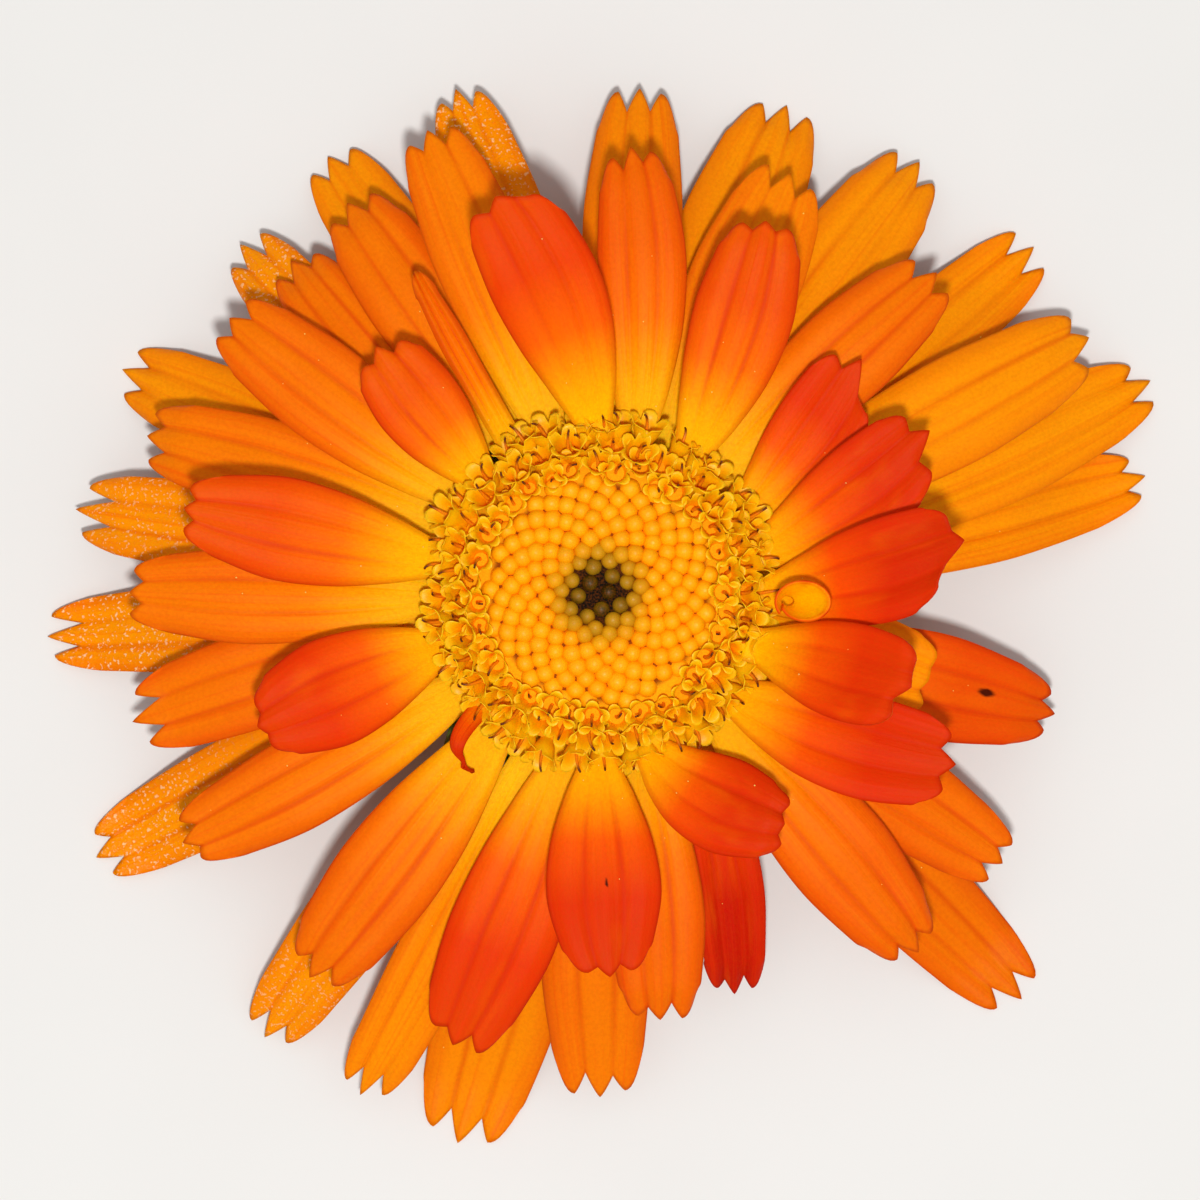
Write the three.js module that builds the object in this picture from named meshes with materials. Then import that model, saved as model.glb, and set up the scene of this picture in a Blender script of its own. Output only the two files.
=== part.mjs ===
// The flower head of a semi-double pot marigold, cut just below its bracts and lying face up.
// Millimetres, +Z up. Bearings are in degrees, counterclockwise from +X, seen from above.

import * as THREE from 'three';
import { mergeVertices } from 'three/addons/utils/BufferGeometryUtils.js';

// The rays: where their narrow claws leave the receptacle, and how thick they are.
const CLAW_RADIUS = 8.9;
const CLAW_WIDTH = 2.0;
const RAY_THICKNESS = 0.26;

// The rays stand in storeys, the lowest lying out to the surface and the highest half upright.
const FIRST_STOREY = 7.2;
const STOREY_STEP = 0.58;
const STOREY_ELEVATION = [-3.5, 0, 4, 9, 15, 22, 30, 38];
const SAG = 0.0155;
const REST_HEIGHT = 0.3;
const REST_SOFTNESS = 0.5;

// A ray's outline, as shares of its length: its widest place, its shoulders and its three teeth.
const WIDEST_AT = 0.6;
const ROWS = [0, 0.17, 0.38, 0.62, 0.84, 1];
const COLUMNS = 6;
const SIDE_CORNER_BACK = 0.13;
const SIDE_TOOTH_BACK = 0.022;

// The disc and what carries it.
const DISC_RADIUS = 8.5;
const BUD_RADIUS = 6.1;
const BUD_RING_RADII = [0, 1.2, 2.4, 3.6, 4.9, BUD_RADIUS];
const BUD_BASE = 10.4;
const BUD_CROWN = 12.3;
const BUD_FALL = 0.9;
const BUD_BUMP = 0.16;
const BUDS_IN_A_TURN = 18;
const EYE_RADIUS = 2.4;
const EYE_DEPTH = 0.9;
const OPEN_FLORETS = 46;
const OPEN_FLORET_TOP = 12.6;
const OPEN_FLORET_SIDE = 11.8;
const LOBE_HEIGHT = 0.35;
const RECEPTACLE_RADIUS = 8.2;
const RECEPTACLE_TOP = 10.1;
const RECEPTACLE_PROFILE = [
  [0, 4.6], [3.0, 4.9], [6.0, 6.1], [7.6, 7.0], [RECEPTACLE_RADIUS, 7.8],
  [RECEPTACLE_RADIUS, RECEPTACLE_TOP], [0, RECEPTACLE_TOP],
];
const RECEPTACLE_STEPS = 24;
const GAP = 0.3;
const MERGE_DISTANCE = 1e-4;

// The green parts below.
const STEM_RADIUS = 2.6;
const STEM_RIBS = 9;
const STEM_RIB_DEPTH = 0.06;
const STEM_TOP = 2.7;
const BRACTS_IN_A_ROW = 16;
const BRACT_STEPS = 4;
const BRACT_ROWS = 4;
const INNER_BRACTS = {
  foot: 1.5, footHeight: 4.2, shoulder: 8.3, shoulderHeight: 6.2, tip: 13.2, tipHeight: 5.8, notch: 9.6,
  turn: 0, thickness: 0.35,
};
const OUTER_BRACTS = {
  foot: 1.5, footHeight: 3.4, shoulder: 8.5, shoulderHeight: 5.5, tip: 12.2, tipHeight: 4.5, notch: 9.4,
  turn: 11.25, thickness: 0.4,
};

// Each ray: root bearing, tip bearing, reach from the axis, width, storey, height of its edges over
// its midline, notch depth between its teeth, how far its tip narrows, and, where the tip is cut
// aslant, how far its left corner leads the right one.
const OUTER_RAYS = [
  [8, 12, 30.2, 4.7, 0, 0.5, 0.8, 0.4],
  [15, 21, 32.1, 5.5, 1, 0.2, 1.2, 0.45],
  [26, 27.5, 30.0, 5.9, 2, -0.2, 0.9, 0.35, 1.0],
  [36, 38.5, 30.3, 4.9, 0, 0.3, 1.3, 0.3],
  [54, 53.4, 29.2, 6.0, 1, -0.2, 1.2, 0.4],
  [70, 69, 28.7, 6.2, 0, 0.2, 1.2, 0.45],
  [84, 85.5, 27.6, 5.4, 1, -0.2, 1.2, 0.4],
  [103, 106, 28.3, 5.0, 1, 0.2, 1.0, 0.45],
  [120, 122, 28.0, 5.0, 0, 0.2, 1.0, 0.3],
  [138, 136, 27.2, 4.4, 0.5, 0.3, 1.2, 0.25],
  [153, 155, 28.8, 5.0, 0, 0.2, 1.2, 0.35],
  [170, 171, 28.9, 4.9, 1, 0.3, 1.8, 0.3],
  [186, 184.6, 30.3, 4.7, 0, 0.3, 1.8, 0.35],
  [208, 207.8, 31.1, 5.1, 0, 0.2, 1.3, 0.35],
  [232, 233, 30.4, 4.8, 1, 0.2, 1.3, 0.35],
  [248, 244.5, 30.2, 4.2, 2, 0.2, 1.4, 0.3],
  [258, 255.5, 31.2, 6.7, 0, 0.1, 1.9, 0.35],
  [268, 270, 27.3, 5.9, 1, -0.2, 1.2, 0.35],
  [302, 288.5, 23.1, 3.8, 0, 0.4, 0.9, 0.35],
  [317, 316, 32.0, 5.6, 0, 0.1, 1.5, 0.35],
  [343, 345, 25.5, 5.7, 1, 0.3, 0.8, 0.55],
];
const MIDDLE_RAYS = [
  [45, 43.5, 24.9, 5.4, 3, -0.3, 1.0, 0.35],
  [64, 65.5, 24.9, 6.0, 2, 0.2, 1.1, 0.4],
  [108, 110.5, 26.5, 5.2, 3, -0.2, 1.0, 0.35],
  [121, 123, 25.0, 5.3, 2, -0.2, 1.0, 0.3],
  [137, 133, 24.6, 4.6, 1.4, 0.2, 1.0, 0.3],
  [145, 143.5, 24.9, 5.4, 3, -0.2, 1.0, 0.35],
  [156, 161, 26.1, 5.0, 2, 0.2, 1.1, 0.3],
  [182, 180, 25.4, 5.2, 3, -0.3, 0.7, 0.4],
  [192, 195.5, 26.0, 5.2, 2, 0.2, 1.6, 0.25],
  [215, 211, 26.1, 5.1, 3, -0.3, 0.8, 0.4],
  [233, 233, 26.0, 5.7, 3, -0.3, 1.0, 0.4],
  [258, 252, 25.6, 6.0, 3, -0.3, 0.9, 0.4],
  [283, 278, 23.4, 5.3, 3, -0.2, 0.9, 0.35],
  [314, 311.5, 25.8, 5.8, 3, -0.3, 0.9, 0.45],
  [326, 326, 26.2, 5.4, 2, -0.2, 0.8, 0.45],
  [346, 345, 18.4, 5.2, 3, 0.2, 0.3, 0.3],
];
const INNER_RAYS = [
  [57, 66, 21.8, 5.4, 5, -0.3, 0.8, 0.4],
  [77, 86, 23.8, 4.8, 4, -0.2, 0.9, 0.4],
  [92, 105, 21.9, 5.9, 6, -0.3, 0.6, 0.3, 1.0],
  [121, 120, 19.8, 1.5, 4, 0.1, 0.1, 0.6],
  [136, 132.5, 17.5, 4.7, 5, -0.2, 0.7, 0.3],
  [169, 168.6, 22.6, 5.6, 5, -0.3, 0.5, 0.5],
  [199, 201.5, 19.6, 5.9, 5, -0.3, 0.5, 0.5],
  [269.5, 271.5, 20.5, 6.2, 5, -0.3, 0.5, 0.5],
  [288, 309, 15.8, 5.2, 6, -0.4, 0.5, 0.4],
  [322, 334, 20.9, 5.5, 5, 0.3, 0.7, 0.25],
  [341, 343, 17.3, 5.2, 7, 0.3, 0.5, 0.2, 1.2],
  [359, 8, 19.4, 5.4, 6, 0.3, 0.5, 0.2, 2.4],
  [14, 26, 19.4, 5.2, 5, 0.2, 0.7, 0.25, 1.6],
  [29, 41.5, 18.5, 5.0, 4, 0.2, 0.7, 0.25, 2.6],
];

// Three small rays that never opened out: two curls and a quill rolled into a trumpet.
const CURLS = [
  [222, 227, 12.4, 1.6, 5, 0.5, 0.1, 0.4],
  [351, 347, 13.7, 1.8, 5, 0.5, 0.2, 0.3],
];
const QUILL = {
  bearing: 357.5, from: 9.4, to: 12.3, height: 12.5, rise: 1.7, throat: 0.4, mouth: 0.85, open: 50,
};
const QUILL_THICKNESS = 0.18;
const QUILL_ROWS = 4;
const QUILL_COLUMNS = 8;

const RAY_YELLOW = '#ff9a00';
const RAY_ORANGE = '#ff7a00';
const RAY_RED = '#f04a00';
const FLORET_YELLOW = '#ffa800';
const BRACT_GREEN = '#5f7d2c';
const STEM_GREEN = '#7c9440';

const radians = THREE.MathUtils.degToRad;
const lerp = THREE.MathUtils.lerp;
const smoothstep = THREE.MathUtils.smoothstep;

/** A point at a radius and bearing from the flower's axis. */
function polar(radius, bearing, height = 0) {
  const angle = radians(bearing);
  return new THREE.Vector3(radius * Math.cos(angle), radius * Math.sin(angle), height);
}

/** The larger of two values, with the corner between them rounded. */
function softMax(a, b, softness) {
  const h = Math.max(softness - Math.abs(a - b), 0) / softness;
  return Math.max(a, b) + (h * h * softness) / 4;
}

/** The height of a storey at a distance from the axis: it rises or falls from the claw and sags. */
function storeyHeight(storey, radius) {
  const below = Math.floor(storey);
  const above = Math.min(below + 1, STOREY_ELEVATION.length - 1);
  const elevation = lerp(STOREY_ELEVATION[below], STOREY_ELEVATION[above], storey - below);
  const out = Math.max(radius - CLAW_RADIUS, 0);
  const height = FIRST_STOREY + storey * STOREY_STEP + out * Math.tan(radians(elevation)) - SAG * out * out;
  return softMax(height, REST_HEIGHT, REST_SOFTNESS);
}

/** A closed solid from an indexed triangle list. */
function solid(positions, triangles) {
  const geometry = new THREE.BufferGeometry();
  geometry.setAttribute('position', new THREE.Float32BufferAttribute(positions.flat(), 3));
  geometry.setIndex(triangles.flat());
  geometry.computeVertexNormals();
  return geometry;
}

/** A thin closed solid below the sheet pointAt(row, column). Its far side lies a thickness down. */
function sheetSolid(rows, columns, pointAt, thickness) {
  const upper = [];
  for (let i = 0; i <= rows; i += 1) {
    for (let j = 0; j <= columns; j += 1) upper.push(pointAt(i, j));
  }
  const at = (i, j) => i * (columns + 1) + j;
  const faces = [];
  for (let i = 0; i < rows; i += 1) {
    for (let j = 0; j < columns; j += 1) {
      faces.push([at(i, j), at(i + 1, j), at(i + 1, j + 1)], [at(i, j), at(i + 1, j + 1), at(i, j + 1)]);
    }
  }
  const sheet = solid(upper.map((p) => p.toArray()), faces);
  const normals = sheet.getAttribute('normal');
  const lower = upper.map((p, k) =>
    new THREE.Vector3().fromBufferAttribute(normals, k).multiplyScalar(-thickness).add(p));
  const rim = [];
  for (let j = 0; j < columns; j += 1) rim.push([at(0, j + 1), at(0, j)], [at(rows, j), at(rows, j + 1)]);
  for (let i = 0; i < rows; i += 1) rim.push([at(i, 0), at(i + 1, 0)], [at(i + 1, columns), at(i, columns)]);
  const count = upper.length;
  const under = faces.map(([a, b, c]) => [a + count, c + count, b + count]);
  const walls = rim.flatMap(([a, b]) => [[b, a, a + count], [b, a + count, b + count]]);
  return solid([...upper, ...lower].map((p) => p.toArray()), [...faces, ...under, ...walls]);
}

/** One ray floret's strap: a narrow claw, a broad blade and three teeth at the tip. */
function rayGeometry([rootBearing, tipBearing, reach, width, storey, edgeRise, notch, taper, lead = 0]) {
  const root = polar(CLAW_RADIUS, rootBearing);
  const tip = polar(reach, tipBearing);
  const length = root.distanceTo(tip);
  const chord = tip.clone().sub(root).normalize();
  const start = root.clone().normalize().add(chord).normalize();
  const bend = root.clone().addScaledVector(start, length / 2);
  const midline = new THREE.QuadraticBezierCurve3(root, bend, tip);
  const claw = Math.min(CLAW_WIDTH, width);
  const notchBack = notch / length;
  const halfTip = [0, notchBack, SIDE_TOOTH_BACK, SIDE_CORNER_BACK];

  const widthAt = (share) => {
    const broadening = Math.sin((Math.PI / 2) * Math.min(share / WIDEST_AT, 1));
    const narrowing = Math.max(share - WIDEST_AT, 0) / (1 - WIDEST_AT);
    return lerp(claw, width, broadening) * (1 - taper * narrowing * narrowing);
  };
  const pointAt = (i, j) => {
    const side = (2 * j) / COLUMNS - 1;
    const atTip = i === ROWS.length - 1 ? halfTip[Math.abs(j - COLUMNS / 2)] : 0;
    const slant = (lead / length) * Math.min(side, 0) * smoothstep(ROWS[i], WIDEST_AT / 2, 1);
    const share = ROWS[i] - atTip + slant;
    const along = midline.getTangent(share);
    const across = new THREE.Vector3(-along.y, along.x, 0);
    const point = midline.getPoint(share).addScaledVector(across, (side * widthAt(share)) / 2);
    const edge = edgeRise * side * side * smoothstep(share, 0, WIDEST_AT);
    point.z = storeyHeight(storey, Math.hypot(point.x, point.y)) + edge;
    return point;
  };
  return sheetSolid(ROWS.length - 1, COLUMNS, pointAt, RAY_THICKNESS);
}

/** A ray that stayed rolled up: a quill from its root outwards, open in a trumpet at its end. */
function quillGeometry({ bearing, from, to, height, rise, throat, mouth, open }) {
  const outward = polar(1, bearing);
  const across = new THREE.Vector3(-outward.y, outward.x, 0);
  const pointAt = (i, j) => {
    const share = i / QUILL_ROWS;
    const angle = radians(90 + open / 2 + ((360 - open) * j) / QUILL_COLUMNS);
    const radius = lerp(throat, mouth, share * share);
    const point = polar(lerp(from, to, share), bearing, height + rise * share + radius * Math.sin(angle));
    return point.addScaledVector(across, -radius * Math.cos(angle));
  };
  return sheetSolid(QUILL_ROWS, QUILL_COLUMNS, pointAt, QUILL_THICKNESS);
}

/** A closed ring between an upper and a lower sheet, each pointAt(row, step) counted outwards. */
function ringSolid(rows, steps, upperAt, lowerAt) {
  const positions = [];
  for (const pointAt of [upperAt, lowerAt]) {
    for (let i = 0; i <= rows; i += 1) {
      for (let k = 0; k < steps; k += 1) positions.push(pointAt(i, k).toArray());
    }
  }
  const at = (side, i, k) => (side * (rows + 1) + i) * steps + (k % steps);
  const faces = [];
  const quad = (a, b, c, d) => faces.push([a, b, c], [a, c, d]);
  for (let k = 0; k < steps; k += 1) {
    for (let i = 0; i < rows; i += 1) {
      quad(at(0, i, k), at(0, i + 1, k), at(0, i + 1, k + 1), at(0, i, k + 1));
      quad(at(1, i, k + 1), at(1, i + 1, k + 1), at(1, i + 1, k), at(1, i, k));
    }
    quad(at(0, rows, k), at(1, rows, k), at(1, rows, k + 1), at(0, rows, k + 1));
    quad(at(0, 0, k + 1), at(1, 0, k + 1), at(1, 0, k), at(0, 0, k));
  }
  return bare(solid(positions, faces));
}

/** The same geometry with its positions alone, merged, and without the faces that then vanish. */
function bare(geometry) {
  geometry.deleteAttribute('normal');
  geometry.deleteAttribute('uv');
  const merged = mergeVertices(geometry, MERGE_DISTANCE);
  const corners = merged.getIndex().array;
  const kept = [];
  for (let k = 0; k < corners.length; k += 3) {
    const [a, b, c] = corners.slice(k, k + 3);
    if (a !== b && b !== c && c !== a) kept.push(a, b, c);
  }
  merged.setIndex(kept);
  return merged;
}

/** A closed disc or ring whose height above and below depends on radius and bearing. */
function turnedSolid(radii, steps, upperHeight, lowerHeight) {
  const sheet = (heightAt) => (i, k) => {
    const bearing = (360 * k) / steps;
    return polar(radii[i], bearing, heightAt(radii[i], bearing));
  };
  return ringSolid(radii.length - 1, steps, sheet(upperHeight), sheet(lowerHeight));
}

/** The closed florets: a cushion of small domes round a sunken eye. */
function budGeometry() {
  const crown = (radius, bearing) => {
    const dip = EYE_DEPTH * (1 - smoothstep(radius, 0, EYE_RADIUS));
    const fall = BUD_FALL * (radius / BUD_RADIUS) ** 3;
    const bump = radius > EYE_RADIUS ? BUD_BUMP * Math.cos(radians(bearing) * BUDS_IN_A_TURN) : 0;
    return BUD_CROWN - dip - fall + bump;
  };
  return turnedSolid(BUD_RING_RADII, BUDS_IN_A_TURN * 2, crown, () => BUD_BASE);
}

/** The ring of opened florets: a crown of flared lobes round the closed ones. */
function openFloretGeometry() {
  const inner = BUD_RADIUS + GAP;
  const middle = (inner + DISC_RADIUS) / 2;
  const crest = (radius, bearing) => {
    const lobe = LOBE_HEIGHT * Math.cos(radians(bearing) * OPEN_FLORETS);
    return (radius === middle ? OPEN_FLORET_TOP : OPEN_FLORET_SIDE) + lobe;
  };
  return turnedSolid([inner, middle, DISC_RADIUS], OPEN_FLORETS * 2, crest, () => BUD_BASE);
}

/** The receptacle: the green base that carries the disc and the claws. */
function receptacleGeometry() {
  return lathed(RECEPTACLE_PROFILE, RECEPTACLE_STEPS);
}

/** A closed solid of revolution whose profile runs from the axis back to the axis. */
function lathed(profile, steps) {
  const geometry = new THREE.LatheGeometry(profile.map(([r, h]) => new THREE.Vector2(r, h)), steps);
  return bare(geometry.rotateX(Math.PI / 2));
}

/** One row of bracts, grown together at the foot and free at their pointed tips. */
function bractGeometry(row) {
  const { foot, footHeight, shoulder, shoulderHeight, tip, tipHeight, notch, turn, thickness } = row;
  const steps = BRACTS_IN_A_ROW * BRACT_STEPS;
  const half = BRACT_ROWS / 2;
  const upperAt = (i, k) => {
    const fromTip = Math.abs((k % BRACT_STEPS) / BRACT_STEPS - 0.5) * 2;
    const reach = lerp(tip, notch, fromTip);
    const bearing = turn + (360 * k) / steps;
    if (i <= half) {
      const share = i / half;
      return polar(lerp(foot, shoulder, share), bearing, lerp(footHeight, shoulderHeight, share));
    }
    const radius = lerp(shoulder, reach, (i - half) / half);
    const fall = (radius - shoulder) / (tip - shoulder);
    return polar(radius, bearing, lerp(shoulderHeight, tipHeight, fall));
  };
  const lowerAt = (i, k) => upperAt(i, k).setZ(upperAt(i, k).z - thickness);
  return ringSolid(BRACT_ROWS, steps, upperAt, lowerAt);
}

/** The cut stem: a short ribbed stub with a flat end. */
function stemGeometry() {
  const steps = STEM_RIBS * 4;
  const rim = (k, height) => {
    const bearing = (360 * k) / steps;
    const ribbed = 1 + STEM_RIB_DEPTH * Math.cos(radians(bearing) * STEM_RIBS);
    return polar(STEM_RADIUS * ribbed, bearing, height);
  };
  const outline = new THREE.Shape(Array.from({ length: steps }, (_, k) => {
    const point = rim(k, 0);
    return new THREE.Vector2(point.x, point.y);
  }));
  const geometry = new THREE.ExtrudeGeometry(outline, { depth: STEM_TOP, bevelEnabled: false });
  return bare(geometry);
}

function named(name, geometry, colour, roughness = 0.6) {
  const material = new THREE.MeshStandardMaterial({ color: colour, roughness, metalness: 0 });
  const mesh = new THREE.Mesh(geometry, material);
  mesh.name = name;
  return mesh;
}

function whorl(name, rays, colour) {
  const group = new THREE.Group();
  rays.forEach((ray, index) => {
    const number = String(index + 1).padStart(2, '0');
    group.add(named(`${name}_${number}`, rayGeometry(ray), colour));
  });
  return group;
}

const head = new THREE.Group();
head.add(
  whorl('outer_ray', OUTER_RAYS, RAY_YELLOW),
  whorl('middle_ray', MIDDLE_RAYS, RAY_ORANGE),
  whorl('inner_ray', INNER_RAYS, RAY_RED),
  whorl('curled_ray', CURLS, RAY_RED),
  named('rolled_ray', quillGeometry(QUILL), RAY_RED),
  named('disc_buds', budGeometry(), FLORET_YELLOW),
  named('disc_open_florets', openFloretGeometry(), FLORET_YELLOW),
  named('receptacle', receptacleGeometry(), BRACT_GREEN),
  named('inner_bracts', bractGeometry(INNER_BRACTS), BRACT_GREEN),
  named('outer_bracts', bractGeometry(OUTER_BRACTS), BRACT_GREEN),
  named('stem_stub', stemGeometry(), STEM_GREEN),
);

// The origin is at the middle of the head's outline, on the surface that it rests on.
const box = new THREE.Box3().setFromObject(head);
const middle = box.getCenter(new THREE.Vector3());
head.position.set(-middle.x, -middle.y, -box.min.z);

export default head;
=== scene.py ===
"""A pot marigold head as it looks: fine rays, disc florets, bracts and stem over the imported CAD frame.

Lengths are in metres. Bearings are counterclockwise from +X, seen from above.
"""

import math
import random
from collections import Counter, deque

import bmesh
import bpy
import numpy as np
from mathutils import Matrix, Vector, noise

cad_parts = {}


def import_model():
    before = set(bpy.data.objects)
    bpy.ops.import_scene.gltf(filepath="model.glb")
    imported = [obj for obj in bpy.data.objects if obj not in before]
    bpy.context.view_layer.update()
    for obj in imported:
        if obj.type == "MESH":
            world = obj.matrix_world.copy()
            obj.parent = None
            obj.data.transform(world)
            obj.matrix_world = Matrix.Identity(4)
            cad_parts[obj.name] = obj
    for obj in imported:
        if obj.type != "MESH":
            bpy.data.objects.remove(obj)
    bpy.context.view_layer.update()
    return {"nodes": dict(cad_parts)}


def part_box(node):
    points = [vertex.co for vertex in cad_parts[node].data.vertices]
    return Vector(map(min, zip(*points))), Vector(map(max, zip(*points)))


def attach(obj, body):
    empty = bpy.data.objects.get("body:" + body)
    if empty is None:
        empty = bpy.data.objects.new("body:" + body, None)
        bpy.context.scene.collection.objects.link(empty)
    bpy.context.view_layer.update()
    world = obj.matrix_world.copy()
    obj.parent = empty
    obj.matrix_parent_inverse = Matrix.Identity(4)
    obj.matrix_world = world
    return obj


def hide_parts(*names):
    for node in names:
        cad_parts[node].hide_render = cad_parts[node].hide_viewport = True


MM = 0.001
WELD = 1e-6
TINY = 1e-12
TURN = 2 * math.pi
GOLDEN_ANGLE = math.pi * (3 - math.sqrt(5))

# Each ray is rebuilt as a fine sheet through its CAD sheet's points.
LENGTH_STEP = 1e-6
FINE_ROWS = 46
FINE_PER_COLUMN = 6
CLAW_TAIL = 0.7 * MM
RAY_THICKNESS = 0.2 * MM
RAY_EDGE_THICKNESS = 0.07 * MM
LOWEST = 0.02 * MM
TOOTH_FLANK = 1.22
SHOULDER_FLANK = 2.1
TOOTH_VARIETY = 0.045
SHOULDER_PLACE = 0.3
SHOULDER_SWELL = 0.06
CALM_COLUMNS = 4
CALM_ROWS = 6

# How a ray's face departs from the smooth sheet.
RIB_HEIGHT = 0.055 * MM
FURROW_DEPTH = 0.07 * MM
FURROW_WIDTH = 0.06
FURROW_AT = 1 / 3
EDGE_DROP = 0.1 * MM
EDGE_ROLL_FROM = 0.78
WAVE_HEIGHT = 0.22 * MM
WAVE_LENGTH = 5 * MM
TIP_CURL = 0.35 * MM

# How red each whorl is, from golden at 0 to deep red at 1, and the rays that differ from their whorl. The
# red is partly the rays' own colour and partly painted shade: the raised inner rays, which get less light,
# are painted deeper red.
WHORL_RED_AND_SHADE = {"outer": 0.12, "middle": 0.55, "inner": 0.9, "curled": 1.0}
RAY_RED_AND_SHADE = {
    "outer_ray_02": 0.04, "outer_ray_07": 0.3, "outer_ray_16": 0.2, "outer_ray_17": 0.25,
    "outer_ray_18": 0.48, "outer_ray_19": 1.5, "outer_ray_20": 0.55, "outer_ray_21": 0.85,
    "middle_ray_02": 0.3, "middle_ray_03": 0.42, "middle_ray_07": 0.45, "middle_ray_08": 0.5,
    "middle_ray_11": 0.6, "middle_ray_12": 1.0, "middle_ray_13": 0.65, "middle_ray_14": 0.65,
    "middle_ray_15": 0.6, "middle_ray_16": 0.05,
    "inner_ray_01": 0.85, "inner_ray_02": 0.7, "inner_ray_03": 0.95, "inner_ray_04": 0.6,
    "inner_ray_05": 0.8, "inner_ray_06": 0.85, "inner_ray_07": 1.05, "inner_ray_08": 1.15,
    "inner_ray_09": 1.2, "inner_ray_10": 1.2, "inner_ray_11": 1.15, "inner_ray_12": 1.3,
    "inner_ray_13": 1.2, "inner_ray_14": 1.1, "curled_ray_01": 1.2, "curled_ray_02": 0.15,
}
# The rays whose tips have a frosted skin: stronger grain bumps, lower roughness and painted pale glints.
FROSTED_AND_GLINTING_RAYS = {
    "outer_ray_08": 0.8, "outer_ray_10": 0.7, "outer_ray_12": 0.6, "outer_ray_13": 1.0,
    "outer_ray_14": 0.8, "outer_ray_15": 0.5,
}

# The small rays that never opened out: two hooks and a trumpet.
HOOKS = {
    "curled_ray_01": {
        "from": 8.7 * MM, "out": 3.6 * MM, "rise": 1.2 * MM, "width": 1.1 * MM, "cup": 0.25 * MM,
        "tip_out": 2.8 * MM, "tip_aside": 2.0 * MM, "tip_rise": -0.3 * MM, "side": 1, "twist": 0.55,
    },
    "curled_ray_02": {
        "from": 8.7 * MM, "out": 5.2 * MM, "rise": 0.9 * MM, "width": 1.2 * MM, "cup": 0.3 * MM,
        "tip_out": 4.4 * MM, "tip_aside": 0.9 * MM, "tip_rise": 0.2 * MM, "side": -1, "twist": 0.5,
    },
}
HOOK_ROWS = 30
HOOK_COLUMNS = 10
HOOK_TAPER = 0.94
HOOK_ALONG = 0.25
TRUMPET_ROWS = 16
TRUMPET_COLUMNS = 52
TRUMPET_TURN = (-160, 215)
TRUMPET_THROAT = 0.25
TRUMPET_FLARE = 1.4
TRUMPET_ALONG = 0.1
TRUMPET_INSIDE_ALONG = 0.35
TRUMPET_OVERLAP = (0.86, 1.08)
TRUMPET_LIP = 0.25 * MM
TRUMPET_FOOT_DROP = 0.2 * MM
TRUMPET_MOUTH_DROP = 0.9 * MM
TRUMPET_BLUSH = 0.75
TRUMPET_LIP_BLUSH = 0.9
TRUMPET_LEAN = 0.9 * MM
TRUMPET_LONG = 1.4 * MM
TRUMPET_WIDE = 1.05 * MM
TRUMPET_SKIN = 0.13 * MM

# Small brown marks on the blades: where along and across, and how long and wide.
SCARS = {
    "outer_ray_21": (0.76, 0.12, 0.03, 0.1), "inner_ray_08": (0.6, 0.05, 0.018, 0.04),
    "outer_ray_08": (0.3, -0.4, 0.006, 0.03),
}
POLLEN_RADIUS = 0.05 * MM
POLLEN_GRAINS = 5

# The disc's closed florets.
BUDS = 174
BUD_FIELD_RADIUS = 6.3 * MM
BUD_RADIUS = 0.585 * MM
BUD_RADIUS_AT_EYE = 0.5 * MM
BUD_STEEPNESS = 1.3
BUD_SEGMENTS = 15
BUD_RINGS = 7
BUD_VALVE_DEPTH = 0.05
BUD_VALVES = 5
BUD_LATITUDES = (-52, 76)
CROWN_HEIGHT = 12.25 * MM
CROWN_FALL = 0.9 * MM
EYE_RADIUS = 2.4 * MM
EYE_DEPTH = 0.9 * MM
BED_RADIUS = 8.35 * MM
BED_FOOT = 9.6 * MM
BED_SHOULDER = 10.3 * MM
BED_DEPTH = 0.55 * MM
BED_STEPS = 12
BED_SEGMENTS = 72

# The disc's opened florets, in two rings that lean outwards.
FLORET_RINGS = (
    {
        "count": 35, "radius": 6.5 * MM, "height": 10.35 * MM,
        "lean": 14, "length": 1.6 * MM, "mouth": 0.58 * MM,
    },
    {
        "count": 38, "radius": 7.2 * MM, "height": 10.3 * MM,
        "lean": 32, "length": 1.95 * MM, "mouth": 0.68 * MM,
    },
    {
        "count": 40, "radius": 7.9 * MM, "height": 10.0 * MM,
        "lean": 54, "length": 2.05 * MM, "mouth": 0.7 * MM,
    },
)
FLORET_LOBES = 5
FLORET_SEGMENTS = 30
FLORET_ROWS = 9
FLORET_THROAT = 0.36 * MM
FLORET_SKIN = 0.035 * MM
LOBE_FROM = 0.62
LOBE_FLARE = 0.36 * MM
STYLE_RADIUS = 0.07 * MM
STYLE_STEPS = 8
STYLE_SIDES = 6

# The green parts.
RECEPTACLE_PROFILE = (
    (0.37, 0.05), (0.73, 0.27), (0.93, 0.44), (1.0, 0.58), (1.0, 0.8), (0.98, 0.95), (0.9, 1.0),
)
RECEPTACLE_SEGMENTS = 96
BRACTS_IN_A_ROW = 16
BRACT_ROWS = 16
BRACT_COLUMNS = 6
BRACT_FOOT = 1.4 * MM
BRACT_SHOULDER = 0.62
BRACT_HALF_WIDTH = 0.215
BRACT_TIP_DROP = 0.5 * MM
BRACT_CUP = 0.25 * MM
BRACT_THICKNESS = 0.12 * MM
BRACT_KEEL = 0.22 * MM
BRACT_HAIRS = 46
INNER_BRACT_HEIGHTS = (4.1 * MM, 6.3 * MM)
OUTER_BRACT_HEIGHTS = (3.3 * MM, 5.6 * MM)
STEM_RADIUS = 2.55 * MM
STEM_TOP = 3.5 * MM
STEM_RIBS = 9
STEM_ROWS = 14
STEM_SEGMENTS = 72
STEM_HAIRS = 260
STEM_HAIR_HEIGHTS = (0.25 * MM, 3.0 * MM)
HAIR_RADIUS = 0.022 * MM

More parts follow.
